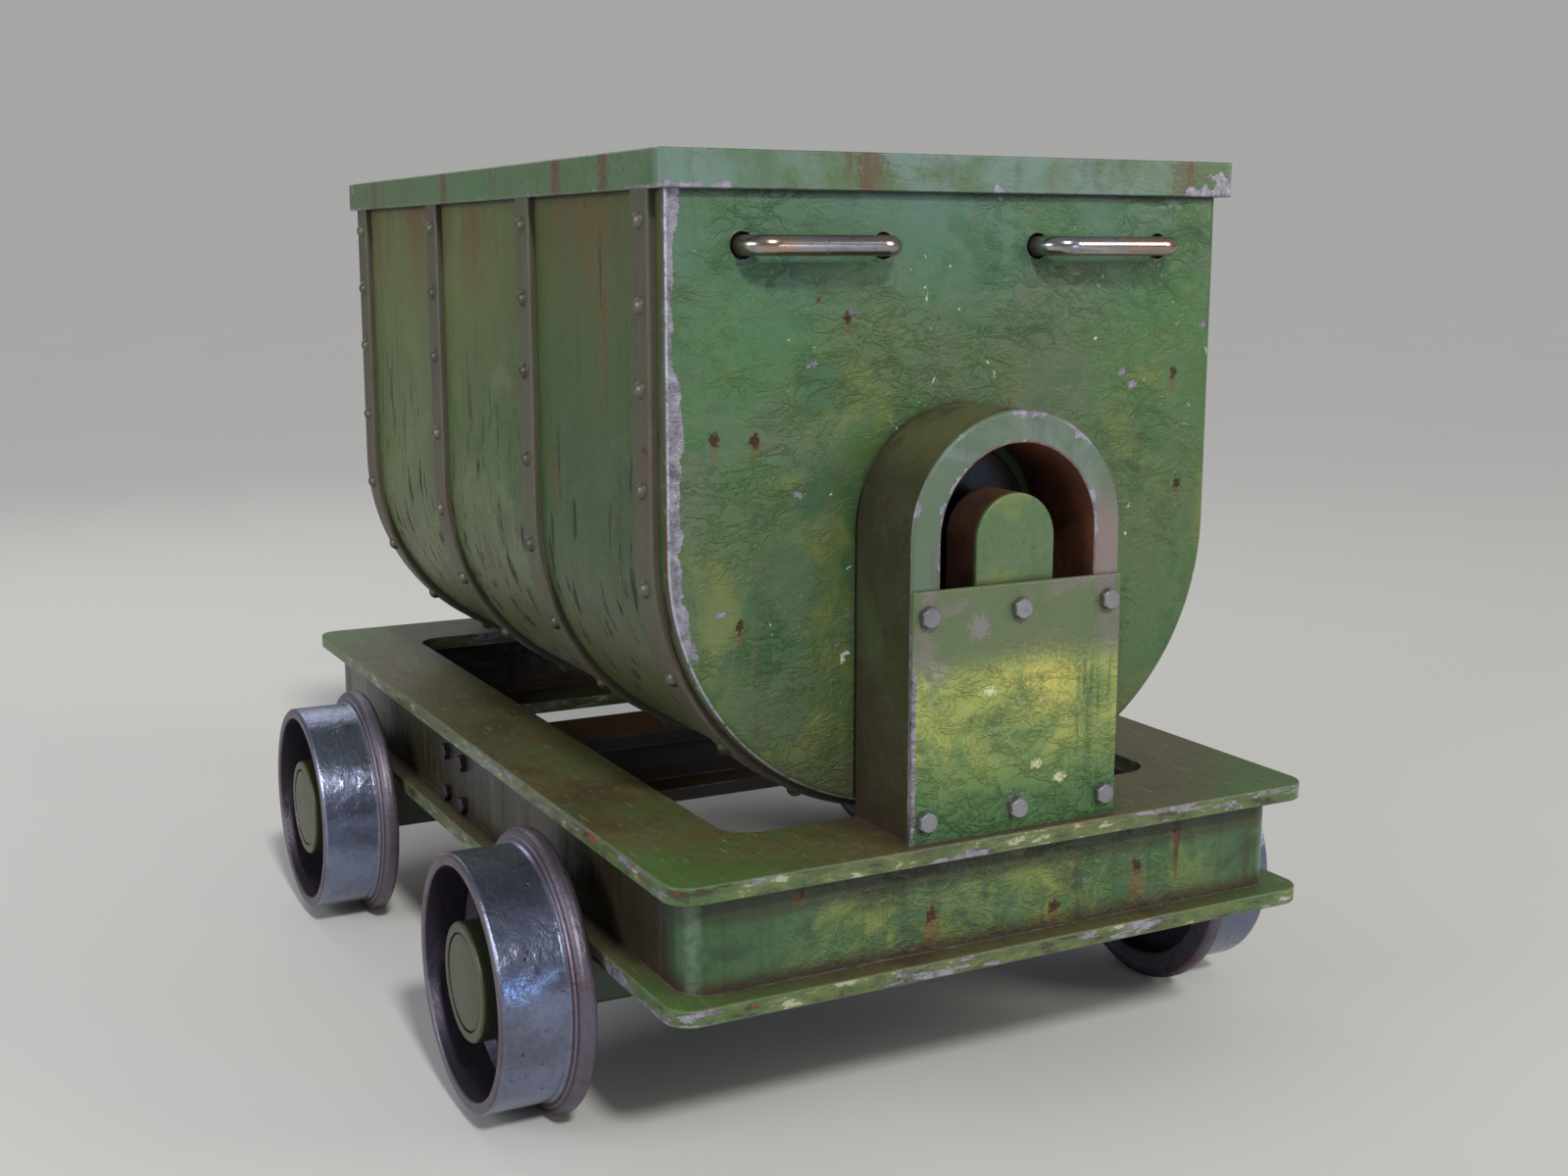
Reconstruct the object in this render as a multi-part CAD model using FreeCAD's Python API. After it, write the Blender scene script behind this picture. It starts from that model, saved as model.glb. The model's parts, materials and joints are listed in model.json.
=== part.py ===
import FreeCAD, Part
import math
import os

# Side-tipping mine cart.  Millimetres, +Z up, +X towards the front, origin on the floor under the
# middle of the frame.  A U-shaped riveted tub hangs by two trunnions between two arched pedestals on
# a flat frame, and the frame runs on four flanged wheels that turn on fixed axles.

Vector = FreeCAD.Vector

# ---------------------------------------------------------------- driving dimensions

# wheels; distances "in" are counted from the wheel's outer face towards the cart's middle
TREAD_R = 172.0
FLANGE_R = 192.0
WHEEL_WIDTH = 121.0
WHEEL_OUTER_Y = 617.5
AXLE_X = 441.0
AXLE_Z = FLANGE_R            # the flanges are the lowest points of the cart
RIM_RING_R = 155.0           # inside of the wheel's rim ring
WEB_IN = 72.0                # depth of the wheel's web plate
WEB_THICKNESS = 20.0
HUB_R = 80.0
HUB_NECK_R = 60.0
HUB_LENGTH = 124.0
HUB_FACE_IN = 6.0
CAP_SEAT_R = 66.5
NUT_POCKET_R = 52.0
JOURNAL_R = 32.0
RUNNING_CLEARANCE = 0.06
WHEEL_BUSH_WALL = 9.0
NUT_POCKET_IN = 30.0         # the pocket's floor, where the bush starts
SEAL_THICKNESS = 8.0

# frame
FRAME_LENGTH = 1660.0
FRAME_WIDTH = 964.0
FRAME_CORNER_R = 35.0
CUTOUT_HALF_LENGTH = 676.0
CUTOUT_HALF_WIDTH = 334.0
CUTOUT_CORNER_R = 45.0
FRAME_BOTTOM = 246.0
BOTTOM_PLATE = 22.0
TOP_PLATE = 23.0
FRAME_TOP = 418.0
WEB_INSET = 32.0
FRAME_WEB = 16.0
CROSS_MEMBER_X = -80.0
CROSS_MEMBER_WIDTH = 140.0
CROSS_MEMBER_TOP = 369.0
CROSS_MEMBER_END = 25.0      # thick tapped end plates
BEAM_WIDTH = 118.0
BEAM_BOTTOM = 151.0
BEAM_HALF_LENGTH = 478.0
AXLE_R = 36.0
AXLE_SHOULDER_Y = 488.0

# tub
TUB_HALF_WIDTH = 412.0
TUB_HALF_LENGTH = 670.5
TUB_TOP = 1257.5
TUB_CORNER_R = 348.0         # round between the side and the bottom
TUB_CORNER_Z = 773.0
TUB_BOTTOM_R = 540.0         # shallow round of the bottom, tangent to both corner rounds
SKIN = 6.0
END_PLATE = 8.0
END_EDGE_R = 12.0            # rolled edge of the end plates
END_DEPTH = 13.0
LINER = 8.0
LINER_HALF_ANGLE = 19.0      # how far the wear plate climbs each corner round, in degrees
RIM_BAR = 13.0
RIM_HEIGHT = 46.0
RIB_WIDTH = 50.0
RIB_THICKNESS = 11.0
RIB_X = {"rib_front": 618.0, "rib_mid_front": 210.0, "rib_mid_rear": -210.0, "rib_rear": -618.0}
RIVET_HEAD_R = 11.5
RIVET_HEAD_HEIGHT = 8.0
RIVET_SHANK_R = 6.0
SIDE_RIVET_TOP = -402.0      # places along the outline; 0 is where the corner round starts
SIDE_RIVET_PITCH = 100.0
ROUND_RIVET_TOP = -79.5
ROUND_RIVET_PITCH = 122.5
HANDLE_R = 12.5
HANDLE_Y = (116.0, 311.0)    # the two ends of a grab handle
HANDLE_Z = 1146.0
HANDLE_STAND_OFF = 41.0
HANDLE_BEND_R = 27.0
HANDLE_HOLE_R = 16.75

# pedestals, bearings and trunnions
PIVOT_Z = 794.0
PEDESTAL_BACK = 675.0
PEDESTAL_FRONT = 810.0
ARCH_OUTER_R = 155.0
ARCH_INNER_R = 115.0
COVER_TOP = 735.5
COVER_THICKNESS = 6.0
COVER_BOLT_Y = (-134.5, 0.0, 134.5)
COVER_BOLT_Z = (447.5, 704.0)
BLOCK_HALF_WIDTH = 58.0
BLOCK_BACK = 735.0
BLOCK_FRONT = 803.0
BLOCK_ARCH_Z = 788.0
TRUNNION_R = 38.0
TRUNNION_END = 793.0
TRUNNION_FLANGE_R = 100.0
TRUNNION_FLANGE = 10.0
TRUNNION_BUSH_R = 44.0

# M16 bolts
BOLT_R = 8.0
BOLT_HEAD_FLATS = 24.0
BOLT_HEAD_HEIGHT = 10.0
BOLT_REACH = 30.0            # length of the shank in the tapped piece


# ---------------------------------------------------------------- shape helpers

def box(x0, x1, y0, y1, z0, z1):
    return Part.makeBox(x1 - x0, y1 - y0, z1 - z0, Vector(x0, y0, z0))


def rod(start, direction, radius, length):
    return Part.makeCylinder(radius, length, Vector(*start), Vector(*direction))


def hexagon(start, direction, across_flats, height):
    """A hexagonal prism with its corners turned off at the far end, like a bolt head."""
    corner_r = across_flats / math.sqrt(3)
    points = [Vector(corner_r * math.cos(math.radians(60 * i)), corner_r * math.sin(math.radians(60 * i)), 0)
              for i in range(7)]
    prism = Part.Face(Part.makePolygon(points)).extrude(Vector(0, 0, height))
    cone_height = corner_r + height - 2.5
    prism = prism.common(Part.makeCone(cone_height, 0, cone_height))
    prism.Placement = FreeCAD.Placement(Vector(*start), FreeCAD.Rotation(Vector(0, 0, 1), Vector(*direction)))
    return prism


def rounded_plate(half_length, half_width, corner_r, z0, z1):
    plate = box(-half_length, half_length, -half_width, half_width, z0, z1)
    upright = [e for e in plate.Edges if abs(e.BoundBox.ZLength - (z1 - z0)) < 0.01]
    return plate.makeFillet(corner_r, upright)


def edges_on(shape, axis, value, keep=lambda edge: True):
    """The edges that lie wholly in the plane axis = value."""
    low, high = axis.upper() + "Min", axis.upper() + "Max"
    found = []
    for edge in shape.Edges:
        limits = edge.BoundBox
        flat = abs(getattr(limits, low) - value) < 0.01 and abs(getattr(limits, high) - value) < 0.01
        if flat and keep(edge):
            found.append(edge)
    return found


def to_rear(shape):
    return shape.mirror(Vector(0, 0, 0), Vector(1, 0, 0))


def to_left(shape):
    return shape.mirror(Vector(0, 0, 0), Vector(0, 1, 0))


def arc(centre, radius, start_deg, end_deg, x=0.0):
    """An arc in the YZ plane, angles counted from +Y towards +Z."""
    angles = (start_deg, (start_deg + end_deg) / 2, end_deg)
    points = []
    for degrees in angles:
        turn = math.radians(degrees)
        points.append(Vector(x, centre[0] + radius * math.cos(turn), centre[1] + radius * math.sin(turn)))
    return Part.Arc(*points).toShape()


def line(a, b, x=0.0):
    return Part.makeLine(Vector(x, *a), Vector(x, *b))


# ---------------------------------------------------------------- tub

def bottom_centre_z():
    reach = TUB_BOTTOM_R - TUB_CORNER_R
    return TUB_CORNER_Z + math.sqrt(reach ** 2 - (TUB_HALF_WIDTH - TUB_CORNER_R) ** 2)


def bottom_half_angle():
    """Half of the angle that the bottom round spans, in degrees."""
    return math.degrees(math.asin((TUB_HALF_WIDTH - TUB_CORNER_R) / (TUB_BOTTOM_R - TUB_CORNER_R)))


def tub_section(grow, top, x=0.0):
    """The U-shaped section of the tub as a face, moved outwards by grow."""
    w = TUB_HALF_WIDTH + grow
    corner_y = TUB_HALF_WIDTH - TUB_CORNER_R
    turn = bottom_half_angle()
    edges = [
        line((-w, top), (-w, TUB_CORNER_Z), x),
        arc((-corner_y, TUB_CORNER_Z), TUB_CORNER_R + grow, 180, 270 - turn, x),
        arc((0, bottom_centre_z()), TUB_BOTTOM_R + grow, 270 - turn, 270 + turn, x),
        arc((corner_y, TUB_CORNER_Z), TUB_CORNER_R + grow, 270 + turn, 360, x),
        line((w, TUB_CORNER_Z), (w, top), x),
        line((w, top), (-w, top), x),
    ]
    return Part.Face(Part.Wire(edges))


def tub_slab(grow, top, x0, x1):
    return tub_section(grow, top, x0).extrude(Vector(x1 - x0, 0, 0))


def rivet_places():
    """(y, z, outward y, outward z) of the rivets on the tub's skin, down one side and round the bottom."""
    corner_y = TUB_HALF_WIDTH - TUB_CORNER_R
    outer_r = TUB_CORNER_R + RIB_THICKNESS
    corner_length = outer_r * math.radians(90 - bottom_half_angle())
    side_rivets = [SIDE_RIVET_TOP + SIDE_RIVET_PITCH * i for i in range(3)]
    round_rivets = [ROUND_RIVET_TOP + ROUND_RIVET_PITCH * i for i in range(6)]
    places = []
    for s in side_rivets + round_rivets:
        if s < 0:
            places.append((-TUB_HALF_WIDTH, TUB_CORNER_Z - s, -1.0, 0.0))
            continue
        if s < corner_length:
            angle = math.pi + s / outer_r
            centre, radius = (-corner_y, TUB_CORNER_Z), TUB_CORNER_R
        else:
            past = (s - corner_length) / (TUB_BOTTOM_R + RIB_THICKNESS)
            angle = math.radians(270 - bottom_half_angle()) + past
            centre, radius = (0.0, bottom_centre_z()), TUB_BOTTOM_R
        out_y, out_z = math.cos(angle), math.sin(angle)
        places.append((centre[0] + radius * out_y, centre[1] + radius * out_z, out_y, out_z))
    return places + [(-y, z, -out_y, out_z) for y, z, out_y, out_z in places]


def rivet_shanks(x, extra=0.0):
    """The straight shanks of one rib's rivets, from the inside of the skin to the rib's outer face."""
    shanks = []
    for y, z, out_y, out_z in rivet_places():
        start = (x, y - out_y * (SKIN + extra), z - out_z * (SKIN + extra))
        shanks.append(rod(start, (0, out_y, out_z), RIVET_SHANK_R, SKIN + RIB_THICKNESS + 2 * extra))
    return shanks


def rivet_head():
    """A dome head standing on the XY plane."""
    sphere_r = (RIVET_HEAD_R ** 2 + RIVET_HEAD_HEIGHT ** 2) / (2 * RIVET_HEAD_HEIGHT)
    ball = Part.makeSphere(sphere_r, Vector(0, 0, RIVET_HEAD_HEIGHT - sphere_r))
    side = 2 * RIVET_HEAD_R
    return ball.common(box(-side, side, -side, side, 0, side))


def rivets():
    made = []
    for x in RIB_X.values():
        for (y, z, out_y, out_z), shank in zip(rivet_places(), rivet_shanks(x)):
            head = rivet_head()
            seat = Vector(x, y + out_y * RIB_THICKNESS, z + out_z * RIB_THICKNESS)
            outward = FreeCAD.Rotation(Vector(0, 0, 1), Vector(0, out_y, out_z))
            head.Placement = FreeCAD.Placement(seat, outward)
            made.append(head.fuse(shank).removeSplitter())
    return Part.makeCompound(made)


def tub_skin():
    end = TUB_HALF_LENGTH - END_DEPTH
    skin = tub_slab(0, TUB_TOP, -end, end).cut(tub_slab(-SKIN, TUB_TOP, -end, end))
    holes = [hole for x in RIB_X.values() for hole in rivet_shanks(x, extra=3.0)]
    return skin.cut(holes)


def tub_liner():
    """The wear plate welded on the inside of the bottom, a little way up both corner rounds."""
    end = TUB_HALF_LENGTH - END_DEPTH - 10
    corner_y = TUB_HALF_WIDTH - TUB_CORNER_R
    turn, climb = bottom_half_angle(), bottom_half_angle() + LINER_HALF_ANGLE
    edges, ends = [], []
    for grow in (-SKIN, -SKIN - LINER):
        edges += [
            arc((-corner_y, TUB_CORNER_Z), TUB_CORNER_R + grow, 270 - climb, 270 - turn, -end),
            arc((0, bottom_centre_z()), TUB_BOTTOM_R + grow, 270 - turn, 270 + turn, -end),
            arc((corner_y, TUB_CORNER_Z), TUB_CORNER_R + grow, 270 + turn, 270 + climb, -end),
        ]
        reach = (TUB_CORNER_R + grow) * math.sin(math.radians(climb))
        ends.append((corner_y + reach, TUB_CORNER_Z - (TUB_CORNER_R + grow) * math.cos(math.radians(climb))))
    (outer_y, outer_z), (inner_y, inner_z) = ends
    edges += [line((sign * outer_y, outer_z), (sign * inner_y, inner_z), -end) for sign in (-1, 1)]
    wire = Part.Wire(Part.__sortEdges__(edges))
    return Part.Face(wire).extrude(Vector(2 * end, 0, 0))


def rib(x):
    """One flat bar bent round the tub under the rim."""
    top = TUB_TOP - RIM_HEIGHT
    x0, x1 = x - RIB_WIDTH / 2, x + RIB_WIDTH / 2
    bar = tub_slab(RIB_THICKNESS, top, x0, x1)
    outer_edges = []
    for side in (x0, x1):
        outer_edges += edges_on(bar, "X", side, lambda e: e.BoundBox.ZMin < top - 1)
    bar = bar.makeChamfer(2.5, outer_edges)
    return bar.cut(tub_slab(0, top, x0, x1)).cut(rivet_shanks(x, extra=3.0))


def end_plate():
    """The flanged front end of the tub; its rolled edge meets the skin."""
    outer, inner = TUB_HALF_LENGTH, TUB_HALF_LENGTH - END_DEPTH
    plate = tub_slab(0, TUB_TOP, inner, outer)
    plate = plate.makeFillet(END_EDGE_R, edges_on(plate, "X", outer, lambda e: e.BoundBox.ZMin < TUB_TOP - 1))
    plate = plate.cut(tub_slab(-SKIN, TUB_TOP, inner, outer - END_PLATE))
    holes = [rod((inner, side * y, HANDLE_Z), (1, 0, 0), HANDLE_HOLE_R, END_DEPTH)
             for side in (-1, 1) for y in HANDLE_Y]
    holes.append(rod((inner, 0, PIVOT_Z), (1, 0, 0), TRUNNION_R + 12, END_DEPTH))
    return plate.cut(holes)


def rim():
    """A flat bar round the top edge, with the tub's rounded corners inside it."""
    bottom = TUB_TOP - RIM_HEIGHT
    x, y = TUB_HALF_LENGTH + RIM_BAR, TUB_HALF_WIDTH + RIM_BAR
    band = box(-x, x, -y, y, bottom, TUB_TOP)
    band = band.makeChamfer(1.5, band.Edges)
    return band.cut(rounded_plate(TUB_HALF_LENGTH, TUB_HALF_WIDTH, END_EDGE_R, bottom, TUB_TOP))


def handle(side):
    """A grab handle on the front plate: a rod bent to a U, its two ends pushed through the plate."""
    x_in = TUB_HALF_LENGTH - END_PLATE - 24
    x_out = TUB_HALF_LENGTH + HANDLE_STAND_OFF
    x_bend = x_out - HANDLE_BEND_R
    y0, y1 = sorted(side * y for y in HANDLE_Y)
    grip_y0 = y0 + HANDLE_BEND_R
    grip_length = y1 - y0 - 2 * HANDLE_BEND_R
    bar = rod((x_out, grip_y0, HANDLE_Z), (0, 1, 0), HANDLE_R, grip_length)
    for y, inwards in ((y0, 1), (y1, -1)):
        leg = rod((x_in, y, HANDLE_Z), (1, 0, 0), HANDLE_R, x_bend - x_in)
        ring = Part.Wire(Part.makeCircle(HANDLE_R, Vector(x_bend, y, HANDLE_Z), Vector(1, 0, 0)))
        bend_centre = Vector(x_bend, y + inwards * HANDLE_BEND_R, HANDLE_Z)
        bend = Part.Face(ring).revolve(bend_centre, Vector(0, 0, inwards), 90)
        bar = bar.fuse([leg, bend])
    return bar.removeSplitter()


def handle_nuts():
    """Flanged nuts on the inside of both end plates, two for each handle."""
    face = TUB_HALF_LENGTH - END_PLATE
    made = []
    for y in (-HANDLE_Y[1], -HANDLE_Y[0], HANDLE_Y[0], HANDLE_Y[1]):
        flange = rod((face - 4, y, HANDLE_Z), (1, 0, 0), 25, 4)
        nut = hexagon((face - 4, y, HANDLE_Z), (-1, 0, 0), 38, 13).fuse(flange)
        nut = nut.cut(rod((face - 20, y, HANDLE_Z), (1, 0, 0), HANDLE_R, 25))
        made += [nut, to_rear(nut)]
    return Part.makeCompound(made)


def trunnion():
    """Front trunnion: a pin with a flange on the tub's end plate and a spigot through the plate."""
    spigot = rod((TUB_HALF_LENGTH - 20, 0, PIVOT_Z), (1, 0, 0), TRUNNION_R + 12, 20)
    flange = rod((TUB_HALF_LENGTH, 0, PIVOT_Z), (1, 0, 0), TRUNNION_FLANGE_R, TRUNNION_FLANGE)
    flange = flange.makeChamfer(2.5, edges_on(flange, "X", TUB_HALF_LENGTH + TRUNNION_FLANGE))
    pin = rod((TUB_HALF_LENGTH, 0, PIVOT_Z), (1, 0, 0), TRUNNION_R, TRUNNION_END - TUB_HALF_LENGTH)
    pin = pin.makeChamfer(2.0, edges_on(pin, "X", TRUNNION_END))
    return spigot.fuse([flange, pin]).removeSplitter()


# ---------------------------------------------------------------- frame

def frame_plate(z0, z1):
    outer = rounded_plate(FRAME_LENGTH / 2, FRAME_WIDTH / 2, FRAME_CORNER_R, z0, z1)
    outer = outer.makeChamfer(1.5, edges_on(outer, "Z", z0) + edges_on(outer, "Z", z1))
    return outer.cut(rounded_plate(CUTOUT_HALF_LENGTH, CUTOUT_HALF_WIDTH, CUTOUT_CORNER_R, z0, z1))


def cross_member_bolt_places():
    return [(CROSS_MEMBER_X + dx, z) for dx in (-41.0, 41.0) for z in (282.0, 350.0)]


def frame_web():
    """The upright wall between the two frame plates, set in from their edges."""
    z0, z1 = FRAME_BOTTOM + BOTTOM_PLATE, FRAME_TOP - TOP_PLATE
    half_length, half_width = FRAME_LENGTH / 2 - WEB_INSET, FRAME_WIDTH / 2 - WEB_INSET
    wall = rounded_plate(half_length, half_width, 40, z0, z1)
    wall = wall.cut(rounded_plate(half_length - FRAME_WEB, half_width - FRAME_WEB, 40 - FRAME_WEB, z0, z1))
    holes = [rod((x, -half_width - 1, z), (0, 1, 0), BOLT_R, 2 * half_width + 2)
             for x, z in cross_member_bolt_places()]
    return wall.cut(holes)


def cross_member():
    """An I-beam across the frame, with thick tapped end plates against the web."""
    half_length = FRAME_WIDTH / 2 - WEB_INSET - FRAME_WEB
    x0, x1 = CROSS_MEMBER_X - CROSS_MEMBER_WIDTH / 2, CROSS_MEMBER_X + CROSS_MEMBER_WIDTH / 2
    bottom, top = FRAME_BOTTOM, CROSS_MEMBER_TOP
    flange = BOTTOM_PLATE
    inside = CUTOUT_HALF_WIDTH
    lower = box(x0, x1, -inside, inside, bottom, bottom + flange)
    upper = box(x0, x1, -half_length, half_length, top - flange, top)
    web_x = (CROSS_MEMBER_X - 8, CROSS_MEMBER_X + 8)
    web = box(*web_x, -half_length, half_length, bottom + flange, top - flange)
    end = box(x0, x1, half_length - CROSS_MEMBER_END, half_length, bottom + flange, top)
    beam = upper.fuse([lower, web, end, to_left(end)]).removeSplitter()
    holes = []
    for x, z in cross_member_bolt_places():
        hole = rod((x, -half_length - 1, z), (0, 1, 0), BOLT_R, CROSS_MEMBER_END + 1)
        holes += [hole, to_left(hole)]
    return beam.cut(holes)


def cross_member_bolts():
    outside = -(FRAME_WIDTH / 2 - WEB_INSET)
    made = []
    for x, z in cross_member_bolt_places():
        head = hexagon((x, outside, z), (0, -1, 0), BOLT_HEAD_FLATS, BOLT_HEAD_HEIGHT)
        shank = rod((x, outside, z), (0, 1, 0), BOLT_R, FRAME_WEB + CROSS_MEMBER_END - 1)
        bolt = head.fuse(shank).removeSplitter()
        made += [bolt, to_left(bolt)]
    return Part.makeCompound(made)


def axle_beam():
    """The cast beam that carries the front axle under the frame."""
    x0, x1 = AXLE_X - BEAM_WIDTH / 2, AXLE_X + BEAM_WIDTH / 2
    beam = box(x0, x1, -BEAM_HALF_LENGTH, BEAM_HALF_LENGTH, BEAM_BOTTOM, FRAME_BOTTOM)
    beam = beam.makeChamfer(5, edges_on(beam, "Z", BEAM_BOTTOM))
    return beam.cut(rod((AXLE_X, -BEAM_HALF_LENGTH, AXLE_Z), (0, 1, 0), AXLE_R, 2 * BEAM_HALF_LENGTH))


def axle():
    """The fixed front axle: a body held in the beam, a journal and a thread at each end."""
    steps = [
        (AXLE_SHOULDER_Y, AXLE_R),
        (WHEEL_OUTER_Y - NUT_POCKET_IN, JOURNAL_R),
        (WHEEL_OUTER_Y - 11, 21.0),
    ]
    shaft = None
    for half_length, radius in steps:
        step = rod((AXLE_X, -half_length, AXLE_Z), (0, 1, 0), radius, 2 * half_length)
        shaft = step if shaft is None else shaft.fuse(step)
    return shaft.removeSplitter()


# ---------------------------------------------------------------- pedestals and bearings

def arch_slab(radius, x0, x1, centre_z, bottom):
    """A slab with straight sides and a round top."""
    edges = [
        line((radius, bottom), (radius, centre_z), x0),
        arc((0, centre_z), radius, 0, 180, x0),
        line((-radius, centre_z), (-radius, bottom), x0),
        line((-radius, bottom), (radius, bottom), x0),
    ]
    return Part.Face(Part.Wire(edges)).extrude(Vector(x1 - x0, 0, 0))


def pedestal():
    body = arch_slab(ARCH_OUTER_R, PEDESTAL_BACK, PEDESTAL_FRONT, PIVOT_Z, FRAME_TOP)
    faces = (PEDESTAL_BACK, PEDESTAL_FRONT)
    outline = [e for x in faces for e in edges_on(body, "X", x, lambda e: e.BoundBox.ZMax > FRAME_TOP + 1)]
    body = body.makeChamfer(3.0, outline)
    body = body.cut(arch_slab(ARCH_INNER_R, PEDESTAL_BACK, PEDESTAL_FRONT, PIVOT_Z, FRAME_TOP))
    start = PEDESTAL_FRONT - BOLT_REACH - 1
    holes = [rod((start, y, z), (1, 0, 0), BOLT_R, BOLT_REACH + 1)
             for y in (COVER_BOLT_Y[0], COVER_BOLT_Y[2]) for z in COVER_BOLT_Z]
    return body.cut(holes)


def bearing_block():
    """The round-topped column that holds the trunnion; a pad below the cover's edge meets the cover."""
    body = arch_slab(BLOCK_HALF_WIDTH, BLOCK_BACK, BLOCK_FRONT, BLOCK_ARCH_Z, FRAME_TOP)
    outline = edges_on(body, "X", BLOCK_FRONT, lambda e: e.BoundBox.ZMax > FRAME_TOP + 1)
    body = body.makeFillet(2.5, outline)
    pad_top = COVER_TOP - 8
    half_width = BLOCK_HALF_WIDTH - 4
    pad = box(BLOCK_FRONT - 10, PEDESTAL_FRONT, -half_width, half_width, FRAME_TOP, pad_top)
    body = body.fuse(pad).removeSplitter()
    body = body.cut(rod((BLOCK_BACK, 0, PIVOT_Z), (1, 0, 0), TRUNNION_BUSH_R, TRUNNION_END + 2 - BLOCK_BACK))
    start = PEDESTAL_FRONT - BOLT_REACH - 1
    return body.cut([rod((start, 0, z), (1, 0, 0), BOLT_R, BOLT_REACH + 1) for z in COVER_BOLT_Z])


def cover_plate():
    front = PEDESTAL_FRONT + COVER_THICKNESS
    plate = box(PEDESTAL_FRONT, front, -ARCH_OUTER_R, ARCH_OUTER_R, FRAME_TOP, COVER_TOP)
    plate = plate.makeChamfer(1.5, edges_on(plate, "X", front, lambda e: e.BoundBox.ZMax > FRAME_TOP + 1))
    holes = [rod((PEDESTAL_FRONT, y, z), (1, 0, 0), BOLT_R + 0.8, COVER_THICKNESS)
             for y in COVER_BOLT_Y for z in COVER_BOLT_Z]
    return plate.cut(holes)


def cover_bolts():
    front = PEDESTAL_FRONT + COVER_THICKNESS
    made = []
    for y in COVER_BOLT_Y:
        for z in COVER_BOLT_Z:
            head = hexagon((front, y, z), (1, 0, 0), BOLT_HEAD_FLATS, BOLT_HEAD_HEIGHT)
            shank = rod((PEDESTAL_FRONT - BOLT_REACH, y, z), (1, 0, 0), BOLT_R, BOLT_REACH + COVER_THICKNESS)
            made.append(head.fuse(shank).removeSplitter())
    return Part.makeCompound(made)


def trunnion_bush():
    length = TRUNNION_END - BLOCK_BACK
    sleeve = rod((BLOCK_BACK, 0, PIVOT_Z), (1, 0, 0), TRUNNION_BUSH_R, length)
    return sleeve.cut(rod((BLOCK_BACK, 0, PIVOT_Z), (1, 0, 0), TRUNNION_R + RUNNING_CLEARANCE, length))


# ---------------------------------------------------------------- wheels

def turned(outline):
    """A body of revolution about the wheel's axis from (inward distance, radius) points."""
    points = [Vector(0, s, r) for s, r in outline]
    face = Part.Face(Part.makePolygon(points + points[:1]))
    return face.revolve(Vector(0, 0, 0), Vector(0, 1, 0), 360)


def at_wheel(shape):
    """Moves a shape from the wheel's own frame to the front right wheel."""
    moved = shape.copy()
    moved.translate(Vector(AXLE_X, -WHEEL_OUTER_Y, AXLE_Z))
    return moved


def quarter(s, r, radius, start_deg, count=4):
    """Points of a quarter round with its centre at (s, r)."""
    return [(s + radius * math.cos(math.radians(start_deg - 90 * i / count)),
             r + radius * math.sin(math.radians(start_deg - 90 * i / count))) for i in range(count + 1)]


def wheel():
    """Rim ring, tread, flange and web plate in one casting, open at the hub."""
    flange_start = WHEEL_WIDTH - 27
    flange_round = 9.0
    web_back = WEB_IN + WEB_THICKNESS
    inner_ring_r = RIM_RING_R - 3
    outline = [(0, RIM_RING_R + 2), (0, TREAD_R - 4), (4, TREAD_R), (flange_start - 6, TREAD_R)]
    outline += [(flange_start - 2, TREAD_R + 2), (flange_start - 1, TREAD_R + 8)]
    outline += [(flange_start + 2, TREAD_R + 9)]
    outline += quarter(flange_start + 2 + flange_round, FLANGE_R - flange_round, flange_round, 180)
    outline += quarter(WHEEL_WIDTH - flange_round, FLANGE_R - flange_round, flange_round, 90)
    outline += [(WHEEL_WIDTH, inner_ring_r + 2), (WHEEL_WIDTH - 2, inner_ring_r)]
    outline += [(web_back + 8, inner_ring_r), (web_back, inner_ring_r - 8), (web_back, HUB_NECK_R)]
    outline += [(WEB_IN, HUB_NECK_R), (WEB_IN, RIM_RING_R - 12)]
    outline += [(WEB_IN - 12, RIM_RING_R), (2, RIM_RING_R)]
    return at_wheel(turned(outline))


def hub():
    """The hub barrel, with a seat for the cap, a pocket for the nut and a bore for the bush."""
    bush_r = JOURNAL_R + WHEEL_BUSH_WALL
    seat_in = HUB_FACE_IN + 4
    seal_in = HUB_LENGTH - SEAL_THICKNESS
    return at_wheel(turned([
        (HUB_FACE_IN, CAP_SEAT_R), (HUB_FACE_IN, HUB_R - 2.5), (HUB_FACE_IN + 2.5, HUB_R), (WEB_IN, HUB_R),
        (WEB_IN, HUB_NECK_R), (HUB_LENGTH, HUB_NECK_R), (HUB_LENGTH, NUT_POCKET_R), (seal_in, NUT_POCKET_R),
        (seal_in, bush_r), (NUT_POCKET_IN, bush_r), (NUT_POCKET_IN, NUT_POCKET_R), (seat_in, NUT_POCKET_R),
        (seat_in, CAP_SEAT_R),
    ]))


def wheel_bush():
    inner = JOURNAL_R + RUNNING_CLEARANCE
    start, end = NUT_POCKET_IN + 1, HUB_LENGTH - SEAL_THICKNESS
    outer = JOURNAL_R + WHEEL_BUSH_WALL
    return at_wheel(turned([(start, inner), (start, outer), (end, outer), (end, inner)]))


def seal():
    start, inner = HUB_LENGTH - SEAL_THICKNESS, JOURNAL_R + 0.3
    outline = [(start, inner), (start, NUT_POCKET_R), (HUB_LENGTH, NUT_POCKET_R), (HUB_LENGTH, inner)]
    return at_wheel(turned(outline))


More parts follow.
